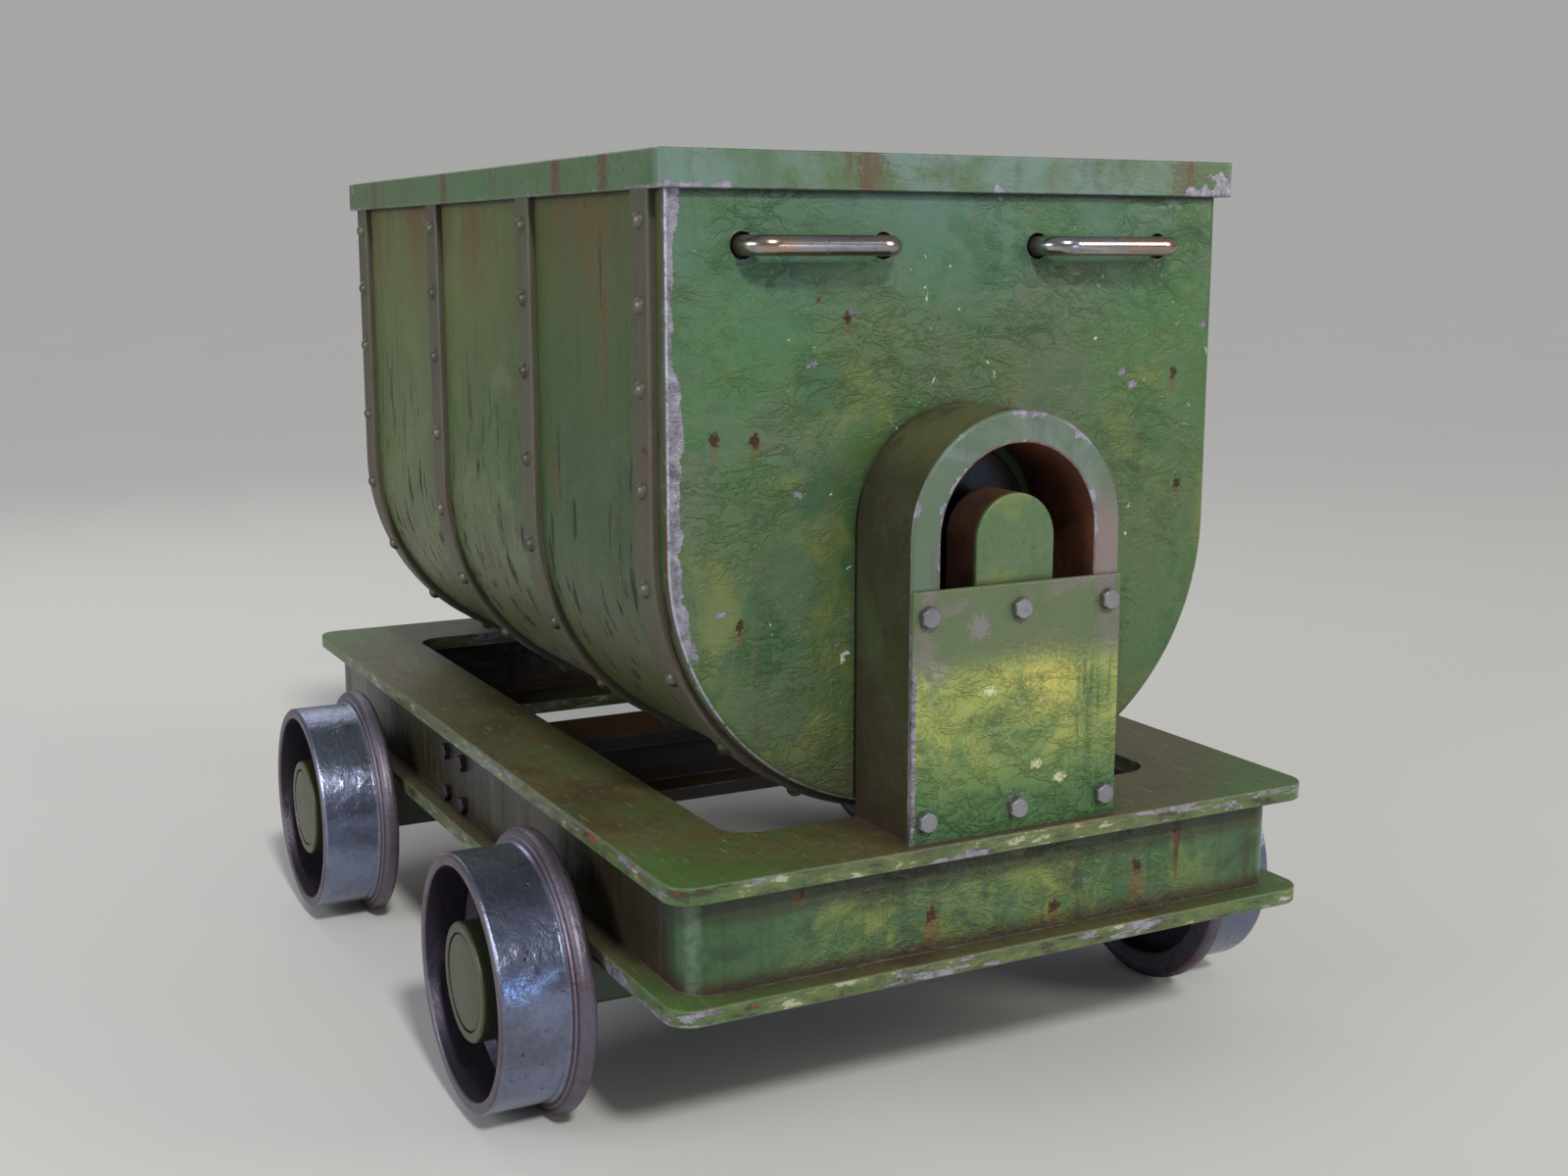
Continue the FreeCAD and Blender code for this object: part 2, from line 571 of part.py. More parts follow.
def hub_cap():
    """A slightly domed cap with a short spigot in the nut pocket."""
    edge_r, crown = CAP_SEAT_R - 2, 3.0
    seat_in = HUB_FACE_IN + 4
    spigot_in = seat_in + 5
    dome = [(HUB_FACE_IN + 1 - crown * (1 - (r / edge_r) ** 2), r) for r in (0, 20, 40, 54, edge_r - 2)]
    inside = seat_in - 2
    return at_wheel(turned(dome + [
        (HUB_FACE_IN + 2.5, edge_r), (seat_in, edge_r), (seat_in, NUT_POCKET_R), (spigot_in, NUT_POCKET_R),
        (spigot_in, NUT_POCKET_R - 5), (inside, NUT_POCKET_R - 5), (inside, 0),
    ]))


def axle_nut():
    """A flanged nut on the end of the fixed axle."""
    face = -WHEEL_OUTER_Y + NUT_POCKET_IN
    flange = rod((AXLE_X, face, AXLE_Z), (0, -1, 0), 40, 3)
    nut = flange.fuse(hexagon((AXLE_X, face - 3, AXLE_Z), (0, -1, 0), 62, 13))
    return nut.cut(rod((AXLE_X, face + 1, AXLE_Z), (0, -1, 0), 21, 25))


# ---------------------------------------------------------------- the whole cart

def build():
    parts = {
        "tub_skin": tub_skin(),
        "tub_liner": tub_liner(),
        "rim": rim(),
        "rivets": rivets(),
        "handle_nuts": handle_nuts(),
        "frame_top_plate": frame_plate(FRAME_TOP - TOP_PLATE, FRAME_TOP),
        "frame_bottom_plate": frame_plate(FRAME_BOTTOM, FRAME_BOTTOM + BOTTOM_PLATE),
        "frame_web": frame_web(),
        "cross_member": cross_member(),
        "cross_member_bolts": cross_member_bolts(),
    }
    for name, x in RIB_X.items():
        parts[name] = rib(x)
    for name, make in (("end_plate", end_plate), ("trunnion", trunnion), ("pedestal", pedestal),
                       ("bearing_block", bearing_block), ("trunnion_bush", trunnion_bush),
                       ("cover_plate", cover_plate), ("cover_bolts", cover_bolts),
                       ("axle_beam", axle_beam), ("axle", axle)):
        shape = make()
        parts[name + "_front"] = shape
        parts[name + "_rear"] = to_rear(shape)
    for side, sign in (("right", -1), ("left", 1)):
        shape = handle(sign)
        parts["handle_front_" + side] = shape
        parts["handle_rear_" + side] = to_rear(shape)
    for name, make in (("wheel", wheel), ("hub", hub), ("wheel_bush", wheel_bush), ("seal", seal),
                       ("hub_cap", hub_cap)):
        shape = make()
        parts[name + "_front_right"] = shape
        parts[name + "_front_left"] = to_left(shape)
        parts[name + "_rear_right"] = to_rear(shape)
        parts[name + "_rear_left"] = to_left(to_rear(shape))
    nut = axle_nut()
    parts["axle_nuts"] = Part.makeCompound([nut, to_left(nut), to_rear(nut), to_left(to_rear(nut))])
    return parts


os.makedirs("parts", exist_ok=True)
for name, shape in build().items():
    solids = len(shape.Solids)
    print(f"{name:24s} solids {solids:3d}  volume {shape.Volume / 1e3:10.1f} cm3  valid {shape.isValid()}")
    shape.exportStep(f"parts/{name}.step")
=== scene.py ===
import json
import math

import bpy
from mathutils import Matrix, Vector


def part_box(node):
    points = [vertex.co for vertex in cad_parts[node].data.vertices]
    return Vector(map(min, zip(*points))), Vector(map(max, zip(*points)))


# Looks of the side-tipping mine cart.  Metres, in the frame's own axes: +X front, +Y left, +Z up.
# Every piece keeps the frame's shape; this script paints the pieces and lights a plain studio.

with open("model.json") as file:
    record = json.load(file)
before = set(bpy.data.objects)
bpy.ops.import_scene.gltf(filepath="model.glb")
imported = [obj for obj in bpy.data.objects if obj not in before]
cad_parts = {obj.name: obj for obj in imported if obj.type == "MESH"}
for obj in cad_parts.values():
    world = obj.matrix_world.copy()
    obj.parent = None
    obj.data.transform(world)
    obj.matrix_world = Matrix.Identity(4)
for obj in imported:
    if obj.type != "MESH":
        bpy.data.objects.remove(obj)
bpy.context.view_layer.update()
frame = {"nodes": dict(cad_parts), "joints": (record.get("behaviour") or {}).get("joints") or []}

# ---------------------------------------------------------------- places that the masks follow

TUB_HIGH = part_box("end_plate_front")[1]
TUB_TOP = TUB_HIGH.z
TUB_END = TUB_HIGH.x
TUB_HALF_WIDTH = TUB_HIGH.y
PIVOT_Z = frame["joints"][0]["pos_m"][2]
WEB_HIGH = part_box("frame_web")[1]
BLOCK_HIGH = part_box("bearing_block_front")[1]
COVER_LOW, COVER_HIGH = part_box("cover_plate_front")

# The tub's section: straight sides, round corners, and a flatter round bottom between them.
TUB_CORNER_R = 0.348
TUB_CORNER_Z = 0.773
TUB_BOTTOM_R = 0.540

ARCH_INNER_R = 0.115
ARCH_OUTER_R = 0.155
WHEEL_X = 0.441
WHEEL_Z = 0.192
HUB_FACE_Y = 0.606


def srgb(red, green, blue):
    """A linear colour from the usual 0 to 255 values."""
    def linear(value):
        value = value / 255
        return value / 12.92 if value <= 0.04045 else ((value + 0.055) / 1.055) ** 2.4
    return (linear(red), linear(green), linear(blue), 1.0)


def faded(colour):
    """The same colour, paler and greyer."""
    grey = sum(colour[:3]) / 3
    return tuple(0.55 * c + 0.45 * grey + 0.04 for c in colour[:3]) + (1.0,)


BARE = srgb(158, 154, 166)
BARE_DARK = srgb(104, 100, 108)
RUST_DARK = srgb(62, 33, 20)
RUST = srgb(122, 62, 30)
RUST_RED = srgb(140, 50, 26)
RUST_BROWN = srgb(92, 62, 36)
# The dark colour below serves both for dirt and for painted shade.
DIRT_AND_SHADE = srgb(38, 34, 26)

# Relief, in metres.
PEEL = 0.0003
LUMPS = 0.0009
DENTS = 0.0016
GRAIN = 0.0005
RUST_PIT = 0.0005
PAINT_FILM = 0.0003

NOISE_MEAN = 0.5
SAMPLES = 6


# ---------------------------------------------------------------- a small language for node trees

class Signal:
    """One number or vector in a node tree; arithmetic on it adds Math nodes."""

    def __init__(self, tree, socket):
        self.tree = tree
        self.socket = socket

    def math(self, operation, *others):
        node = self.tree.nodes.new("ShaderNodeMath")
        node.operation = operation
        for socket, value in zip(node.inputs, (self, *others)):
            feed(self.tree, socket, value)
        return Signal(self.tree, node.outputs[0])

    def __add__(self, other):
        return self.math("ADD", other)

    def __sub__(self, other):
        return self.math("SUBTRACT", other)

    def __mul__(self, other):
        return self.math("MULTIPLY", other)

    def __neg__(self):
        return self.math("MULTIPLY", -1.0)

    __radd__ = __add__
    __rmul__ = __mul__

    def __rsub__(self, other):
        return -self + other

    def abs(self):
        return self.math("ABSOLUTE")

    def sqrt(self):
        return self.math("SQRT")

    def below(self, limit):
        """1 where the signal is under the limit, otherwise 0."""
        return self.math("LESS_THAN", limit)

    def maximum(self, other):
        return self.math("MAXIMUM", other)

    def ramp(self, low, high):
        """0 at low and below, 1 at high and above, smooth between; low may be the larger."""
        node = self.tree.nodes.new("ShaderNodeMapRange")
        node.interpolation_type = "SMOOTHSTEP"
        for name, value in (("Value", self), ("From Min", low), ("From Max", high)):
            feed(self.tree, node.inputs[name], value)
        return Signal(self.tree, node.outputs["Result"])


def feed(tree, socket, value):
    """Links a signal or a socket to the socket, or sets it to a constant."""
    if isinstance(value, Signal):
        value = value.socket
    if isinstance(value, bpy.types.NodeSocket):
        tree.links.new(value, socket)
    else:
        socket.default_value = value


class Finish:
    """A material under construction, with the signals that most finishes need."""

    def __init__(self, name):
        self.material = bpy.data.materials.new(name)
        self.material.use_nodes = True
        self.tree = self.material.node_tree
        self.tree.nodes.clear()
        self.place = self.add("ShaderNodeTexCoord").outputs["Object"]
        split = self.add("ShaderNodeSeparateXYZ", Vector=self.place)
        self.x, self.y, self.z = (Signal(self.tree, out) for out in split.outputs)
        self.geometry = self.add("ShaderNodeNewGeometry")

    def add(self, kind, settings=None, **inputs):
        """A new node; settings are its own properties, and inputs are values for its sockets."""
        node = self.tree.nodes.new(kind)
        for name, value in (settings or {}).items():
            setattr(node, name, value)
        for name, value in inputs.items():
            feed(self.tree, node.inputs[name.replace("_", " ")], value)
        return node

    def normal(self):
        """The surface normal in the piece's own axes, so that it turns with the piece."""
        turned = self.add("ShaderNodeVectorTransform",
                          {"vector_type": "NORMAL", "convert_from": "WORLD", "convert_to": "OBJECT"},
                          Vector=self.geometry.outputs["Normal"])
        split = self.add("ShaderNodeSeparateXYZ", Vector=turned.outputs["Vector"])
        return [Signal(self.tree, out) for out in split.outputs]

    def scaled_place(self, scale, offset):
        """The place in the piece, times the scale, plus the offset, axis by axis."""
        moved = self.add("ShaderNodeVectorMath", {"operation": "MULTIPLY_ADD"})
        feed(self.tree, moved.inputs[0], self.place)
        moved.inputs[1].default_value = scale
        moved.inputs[2].default_value = offset
        return moved.outputs["Vector"]

    def stretched(self, stretch, shift=0.0):
        """The place for a texture; each shift gives another part of the same texture."""
        return self.scaled_place(stretch, (shift, shift * 1.7, shift * 0.6))

    def noise(self, scale, detail=4.0, roughness=0.55, stretch=(1, 1, 1), shift=0.0, twist=0.0):
        """Fractal noise about 0.5; scale is in waves a metre, and stretch multiplies it by axis."""
        node = self.add("ShaderNodeTexNoise", {"noise_type": "FBM"}, Vector=self.stretched(stretch, shift),
                        Scale=scale, Detail=detail, Roughness=roughness, Distortion=twist)
        return Signal(self.tree, node.outputs["Fac"])

    def cells(self, scale, shift=0.0):
        """Distance from the nearest of many scattered points."""
        node = self.add("ShaderNodeTexVoronoi", {"feature": "F1"},
                        Vector=self.stretched((1, 1, 1), shift), Scale=scale)
        return Signal(self.tree, node.outputs["Distance"])

    def edges(self, radius):
        """1 on a sharp edge of the piece, falling to 0 at about radius from it."""
        gain = 3.4  # the two normals of a square edge differ by 1 - cos 45, about 1 / 3.4
        product = self.add("ShaderNodeVectorMath", {"operation": "DOT_PRODUCT"})
        feed(self.tree, product.inputs[0], self.rounded_normal(radius))
        feed(self.tree, product.inputs[1], self.geometry.outputs["Normal"])
        return ((1.0 - Signal(self.tree, product.outputs["Value"])) * gain).ramp(0.02, 1.0)

    def shelter(self, distance):
        """1 deep in corners between pieces, 0 in the open."""
        node = self.add("ShaderNodeAmbientOcclusion", {"samples": SAMPLES}, Distance=distance)
        return 1.0 - Signal(self.tree, node.outputs["AO"])

    def mix(self, amount, under, over):
        """A colour between under and over."""
        node = self.add("ShaderNodeMix", {"data_type": "RGBA", "clamp_factor": True})
        feed(self.tree, node.inputs[0], amount)
        feed(self.tree, node.inputs[6], under)
        feed(self.tree, node.inputs[7], over)
        return node.outputs[2]

    def blend(self, amount, under, over):
        """A number between under and over."""
        node = self.add("ShaderNodeMix", {"data_type": "FLOAT"})
        feed(self.tree, node.inputs[0], amount)
        feed(self.tree, node.inputs[2], under)
        feed(self.tree, node.inputs[3], over)
        return Signal(self.tree, node.outputs[0])

    def rounded_normal(self, radius):
        """A normal that runs round the sharp edges, so that they catch the light."""
        return self.add("ShaderNodeBevel", {"samples": SAMPLES}, Radius=radius).outputs["Normal"]

    def done(self, colour, roughness, height, metallic=0.0, edge_round=0.0):
        """Closes the tree: height is the relief in metres."""
        bump = self.add("ShaderNodeBump", Strength=1.0, Distance=1.0, Height=height)
        if edge_round:
            feed(self.tree, bump.inputs["Normal"], self.rounded_normal(edge_round))
        shader = self.add("ShaderNodeBsdfPrincipled", Base_Color=colour, Roughness=roughness,
                          Metallic=metallic, Normal=bump.outputs["Normal"])
        self.add("ShaderNodeOutputMaterial", Surface=shader.outputs["BSDF"])
        return self.material


# ---------------------------------------------------------------- paint

class Paint(Finish):
    """Old green paint over steel, laid down layer by layer; each layer changes what is under it."""

    def __init__(self, name, green, second, shift=0.0, gloss=(0.26, 0.50)):
        super().__init__(name)
        self.shift = shift
        cloud = self.noise(2.6, 5, 0.6, shift=shift)
        fine = self.noise(19, 6, 0.65, shift=shift + 3)
        self.colour = self.mix(cloud.ramp(0.36, 0.64), green, second)
        self.colour = self.mix(fine.ramp(0.45, 0.8) * 0.3, self.colour, faded(green))
        self.roughness = self.blend(fine, *gloss)
        self.metallic = 0.0
        peel = self.noise(150, 3, 0.5, shift=shift)
        lumps = self.noise(30, 4, 0.55, twist=0.8, shift=shift + 5)
        dents = self.noise(9, 3, 0.5, twist=0.5, shift=shift + 6)
        grain = self.noise(130, 5, 0.75, shift=shift + 7)
        self.colour = self.mix(grain.ramp(0.50, 0.72) * 0.35, self.colour, faded(green))
        self.colour = self.mix(grain.ramp(0.46, 0.30) * 0.45, self.colour, DIRT_AND_SHADE)
        self.height = peel * PEEL + lumps * LUMPS + dents * DENTS + grain * GRAIN
        self.ragged = self.noise(70, 5, 0.7, shift=shift + 17)
        self.torn = self.noise(190, 5, 0.75, shift=shift + 19)

    def wrinkles(self, amount, where=1.0):
        """Creased paint: fine ridges that run mostly across the plate."""
        waves = self.noise(30, 6, 0.62, stretch=(1, 0.75, 1.35), twist=0.7, shift=self.shift + 9)
        folds = 1.0 - (waves - NOISE_MEAN).abs().ramp(0.0, 0.07)
        small = self.noise(75, 4, 0.6, stretch=(1, 0.7, 1.4), shift=self.shift + 10)
        self.height = self.height + (folds * 0.7 + small * 0.8) * where * amount
        return folds

    def brushed(self, amount, stretch=(55, 55, 4), dirt=0.25):
        """Long strokes of a brush, with dirt in them."""
        strokes = self.noise(1.0, 4, 0.6, stretch=stretch, shift=self.shift + 2)
        self.height = self.height + strokes * amount
        self.wash(DIRT_AND_SHADE, strokes.ramp(0.5, 0.75) * dirt)

    def patches(self, colour, amount, scale=7.0, low=0.52, high=0.68, where=1.0, shift=11.0):
        """Soft clouds of another colour."""
        cloud = self.noise(scale, 6, 0.6, twist=0.6, shift=self.shift + shift)
        self.wash(colour, cloud.ramp(low, high) * where * amount)

    def wash(self, colour, amount):
        """A layer of colour whose amount is a signal from 0 to 1."""
        self.colour = self.mix(amount, self.colour, colour)

    def dirt_and_corner_shade(self, distance=0.06, amount=0.85, colour=DIRT_AND_SHADE):
        """Darkening in the corners between pieces, by ambient occlusion: partly dirt, partly painted
        shade.
        """
        dirt = self.shelter(distance)
        cover = (dirt * 1.5 + self.ragged * 0.5 - 0.45).ramp(0.1, 0.95) * amount
        self.wash(colour, cover)
        self.roughness = self.blend(cover, self.roughness, 0.8)

    def streaks(self, colour, amount, scale=16.0, low=0.6, high=0.74, where=1.0, length=1.6, shift=31.0):
        """Runs of dirt or rust down the plate; a smaller length value makes them longer."""
        runs = self.noise(1.0, 5, 0.62, stretch=(scale, scale, length), shift=self.shift + shift)
        cover = runs.ramp(low, high) * where * amount
        self.wash(colour, cover)
        self.roughness = self.blend(cover * 0.7, self.roughness, 0.75)

    def rust(self, core, halo):
        """Rust laid on by two signals: the dark middle and the stain round it."""
        self.wash(RUST, halo * 0.65)
        self.wash(RUST_DARK, core)
        self.roughness = self.blend(halo, self.roughness, 0.85)
        self.height = self.height - core * RUST_PIT

    def rust_spots(self, amount=1.0, scale=24.0):
        """Scattered pinholes of rust with a stain round them."""
        spots = self.noise(scale, 7, 0.66, stretch=(1, 1, 0.55), shift=self.shift + 41)
        self.rust(spots.ramp(0.69, 0.73) * amount, spots.ramp(0.64, 0.73) * amount)

    def weeping_rust(self, y_z_places, core_size, run_size, drop, run_amount, where):
        """Rust spots at given places on an end, with short runs below them."""
        cores = self.end_blots(y_z_places, *core_size) * where
        runs = self.end_blots(y_z_places, *run_size, drop=drop) * where
        self.rust(cores, cores.maximum(runs * run_amount))

    def blot(self, centre, size, soft=0.35):
        """1 inside a ragged blot; an axis of size 0 doesn't count."""
        scale = [1 / s if s else 0.0 for s in size]
        away = self.scaled_place(scale, [-c * k for c, k in zip(centre, scale)])
        length = self.add("ShaderNodeVectorMath", {"operation": "LENGTH"})
        feed(self.tree, length.inputs[0], away)
        distance = Signal(self.tree, length.outputs["Value"])
        return (1.0 - distance + (self.torn - NOISE_MEAN) * 4.5).ramp(0.0, soft)

    def blots(self, places, size):
        """Several equal blots in one signal."""
        total = None
        for place in places:
            blot = self.blot(place, size)
            total = blot if total is None else total.maximum(blot)
        return total

    def end_blots(self, y_z_places, size_y, size_z, drop=0.0):
        """Blots on a face that looks along X, each lowered by drop."""
        return self.blots([(0, y, z - drop) for y, z in y_z_places], (0, size_y, size_z))

    def chips(self, wear):
        """Bare metal where wear is over about 0.5; the paint stands up round it."""
        bare_metal = wear.ramp(0.47, 0.56)
        mottle = self.noise(60, 5, 0.7, shift=self.shift + 51)
        self.wash(self.mix(mottle.ramp(0.35, 0.7), BARE, BARE_DARK), bare_metal)
        self.roughness = self.blend(bare_metal, self.roughness, 0.42)
        self.metallic = bare_metal * 0.5
        self.height = self.height - bare_metal * PAINT_FILM

    def worn(self, radius=0.007, amount=1.0, flecks=0.0, extra=0.0):
        """Wear along the piece's own edges, plus small flecks and any extra wear signal."""
        rough = self.noise(38, 6, 0.7, shift=self.shift + 61)
        place = self.noise(5, 3, 0.6, shift=self.shift + 71)
        wear = self.edges(radius) * (rough * 0.9 + place * 1.1 - 0.35) * amount
        if flecks:
            small = self.noise(30, 4, 0.7, shift=self.shift + 81)
            wear = wear + small.ramp(0.71, 0.76) * flecks
        self.chips(wear + extra)

    def swap(self, where, colour, roughness, height=None):
        """Another surface altogether where the signal is 1."""
        self.wash(colour, where)
        self.roughness = self.blend(where, self.roughness, roughness)
        if height is not None:
            self.height = self.blend(where, self.height, height)

    def close(self, edge_round=0.0):
        return self.done(self.colour, self.roughness, self.height, self.metallic, edge_round)


# ---------------------------------------------------------------- masks that follow the shapes

def tub_depth(f):
    """Distance inwards from the tub's outline, the same on every section."""
    corner_y = TUB_HALF_WIDTH - TUB_CORNER_R
    reach = TUB_BOTTOM_R - TUB_CORNER_R
    bottom_centre_z = TUB_CORNER_Z + math.sqrt(reach ** 2 - corner_y ** 2)
    side = f.y.abs()
    out_y = (side - corner_y).maximum(0.0)
    down = (TUB_CORNER_Z - f.z).maximum(0.0)
    corner = TUB_CORNER_R - (out_y * out_y + down * down).sqrt()
    bottom_dz = bottom_centre_z - f.z
    bottom = TUB_BOTTOM_R - (f.y * f.y + bottom_dz * bottom_dz).sqrt()
    in_bottom = side.below(corner_y) * f.z.below(TUB_CORNER_Z)
    return f.blend(in_bottom, corner, bottom)


def rim_shade_band(f):
    """1 on the plates behind the rim, with a soft lower edge; it marks where the rim's shade is painted.
    """
    return f.z.ramp(TUB_TOP - 0.056, TUB_TOP - 0.046)


def arch_radius(f):
    """Distance from the trunnion's axis, or from the middle plane below it."""
    up = (f.z - PIVOT_Z).maximum(0.0)
    return (f.y * f.y + up * up).sqrt()


def inside_web(f):
    """1 on the inner faces of the frame's wall."""
    wall = 0.012
    beyond = (f.x.abs() - (WEB_HIGH.x - wall)).maximum(f.y.abs() - (WEB_HIGH.y - wall))
    return beyond.ramp(0.0, -0.003)


def wheel_radius(f):
    """Distance from the nearer axle's middle line."""
    along = f.x.abs() - WHEEL_X
    up = f.z - WHEEL_Z
    return (along * along + up * up).sqrt()


# ---------------------------------------------------------------- finishes of the tub

def scoured_steel(f):
    """Rusty plate scoured by rock: a colour and a relief."""
    rust = f.noise(6, 7, 0.65, shift=91)
    scour = f.noise(1.0, 5, 0.6, stretch=(8, 60, 60), shift=93)
    colour = f.mix(rust.ramp(0.38, 0.62), srgb(96, 88, 84), srgb(98, 62, 40))
    colour = f.mix(scour.ramp(0.55, 0.7) * 0.7, colour, srgb(132, 124, 118))
    colour = f.mix(rust.ramp(0.6, 0.75) * 0.8, colour, RUST_DARK)
    return colour, rust * 0.0010 + scour * 0.0006


def end_plate_paint():
    f = Paint("tub_end_paint", srgb(58, 104, 50), srgb(76, 96, 56), gloss=(0.24, 0.44))
    front = f.x.ramp(0.0, 0.01)
    # A painted bluish sheen at the top, then patches of yellow, grey and dark green.
    f.wash(srgb(80, 112, 104), f.z.ramp(1.0, 1.22) * f.noise(5, 4, shift=19).ramp(0.3, 0.6) * 0.7)
    f.patches(srgb(116, 124, 56), 0.55, scale=7.0, low=0.5, high=0.68, where=f.z.ramp(1.2, 0.9))
    f.patches(srgb(92, 96, 78), 0.6, scale=4.5, low=0.5, high=0.72, shift=14)
    f.patches(srgb(40, 84, 44), 0.6, scale=9.0, low=0.52, high=0.66, shift=24)
    f.wrinkles(0.0014, f.noise(6, 3, shift=4).ramp(0.36, 0.6))
    f.brushed(0.0003, stretch=(50, 16, 40), dirt=0.22)
    # Dirt towards the bottom.
    f.streaks(srgb(66, 58, 40), 0.6, scale=15, low=0.54, high=0.74, where=f.z.ramp(0.95, 0.5))
    f.wash(srgb(70, 60, 40), f.z.ramp(0.66, 0.42) * 0.6)
    f.rust_spots(0.8, scale=34)
    rust_y_z = ((-0.350, 0.915), (-0.296, 0.912), (-0.317, 0.683),
                (0.346, 0.976), (0.359, 0.823), (-0.165, 1.061))
    f.weeping_rust(rust_y_z, (0.006, 0.009), (0.007, 0.018), 0.010, 0.5, front)
    f.dirt_and_corner_shade(0.03, 0.8)
    # Painted shade under the rim.
    f.wash(DIRT_AND_SHADE, rim_shade_band(f) * 0.7)
    end_plate_wear(f, front)
    inside = f.x.abs().ramp(TUB_END - 0.005, TUB_END - 0.0075)
    steel, relief = scoured_steel(f)
    f.swap(inside, steel, 0.6, relief)
    return f.close(0.002)


def end_plate_wear(f, front):
    """Chips, a torn strip of bare metal along the upright edges, and a thin painted highlight on the
    rounded edge outside it.
    """
    depth = tub_depth(f)
    chip_y_z = ((-0.160, 1.064), (0.259, 0.979), (0.276, 0.962), (-0.235, 0.842), (-0.214, 1.002),
                (0.396, 1.042), (-0.343, 0.700))
    chips = f.end_blots(chip_y_z, 0.009, 0.006) * front
    ragged = f.noise(30, 6, 0.7, shift=6) * 0.030 + f.noise(7, 3, shift=8) * 0.044
    narrowing = f.blend(f.y.ramp(-0.1, 0.1), 0.012, 0.031)
    strip = (ragged - depth - narrowing).ramp(0.0, 0.012) * f.z.ramp(0.50, 0.70) * 0.62
    f.patches(srgb(196, 204, 196), 0.75, scale=48, low=0.685, high=0.71, shift=34)
    f.worn(0.006, 1.15, flecks=0.7, extra=strip + chips * 0.6)
    # A thin painted highlight on the rounded edge: cream towards +Y, pale blue towards -Y.
    lip_highlight = depth.ramp(0.005, 0.0015) * f.ragged.ramp(0.36, 0.5)
    f.wash(srgb(190, 186, 150), lip_highlight * f.y.ramp(0.0, 0.2) * 0.75)
    f.wash(srgb(190, 204, 214), lip_highlight * f.y.ramp(0.0, -0.2) * 0.8)


def side_paint():
    f = Paint("tub_side_paint", srgb(68, 90, 42), srgb(58, 82, 36), shift=2, gloss=(0.3, 0.55))
    upper_half = f.z.ramp(0.85, 1.2)
    lower_half = f.z.ramp(1.1, 0.75)
    # Paler to the rear, yellower at the top, darker green behind the front rib, and darker still low down
    # as painted shade.
    f.patches(srgb(54, 98, 50), 0.7, scale=3.5)
    f.patches(srgb(110, 120, 84), 0.6, scale=5, shift=13)
    f.wash(srgb(92, 108, 60), f.x.ramp(0.15, -0.3) * 0.5)
    f.wash(srgb(106, 110, 54), f.z.ramp(0.85, 1.1) * 0.35)
    # Darker green towards the front, deepened low down as painted shade.
    f.wash(srgb(44, 72, 32), f.x.ramp(0.05, 0.35) * (0.55 + f.z.ramp(0.95, 0.65) * 0.3))
    f.wrinkles(0.0009, f.noise(5, 3, shift=4).ramp(0.4, 0.6))
    f.brushed(0.0006, stretch=(60, 60, 3), dirt=0.4)
    # Rust that has run down from the rim.
    f.streaks(srgb(96, 72, 38), 0.9, scale=5, low=0.36, high=0.62, where=f.z.ramp(1.0, 1.215), length=0.8)
    f.streaks(srgb(100, 68, 38), 0.7, scale=9, low=0.58, high=0.70, where=upper_half, length=1.3, shift=33)
    # Dust and dirt on the round bottom, and short dark scrapes above it.
    f.wash(srgb(96, 88, 60), f.z.ramp(0.80, 0.56) * f.ragged.ramp(0.2, 0.6) * 0.6)
    f.wash(srgb(78, 62, 40), f.z.ramp(0.56, 0.43) * 0.8)
    f.streaks(srgb(30, 24, 16), 0.95, scale=44, low=0.575, high=0.62, where=lower_half, length=7, shift=35)
    f.streaks(RUST_BROWN, 0.6, scale=30, low=0.60, high=0.68, where=lower_half, length=5, shift=38)
    f.rust_spots(0.9, scale=34)
    # A crack with rust round it, on the right side only.
    right = f.y.ramp(0.0, -0.01)
    stain = f.blot((0.481, 0, 1.05), (0.007, 0, 0.08)) * right
    crack = f.blot((0.470, 0, 1.12), (0.003, 0, 0.05)) * right
    f.rust(crack, stain)
    f.dirt_and_corner_shade(0.06)
    # Painted shade under the rim.
    f.wash(DIRT_AND_SHADE, rim_shade_band(f) * 0.7)
    f.worn(0.004, 0.9, flecks=0.3)
    inside = tub_depth(f).ramp(0.002, 0.004)
    steel, relief = scoured_steel(f)
    f.swap(inside, steel, 0.6, relief)
    return f.close()


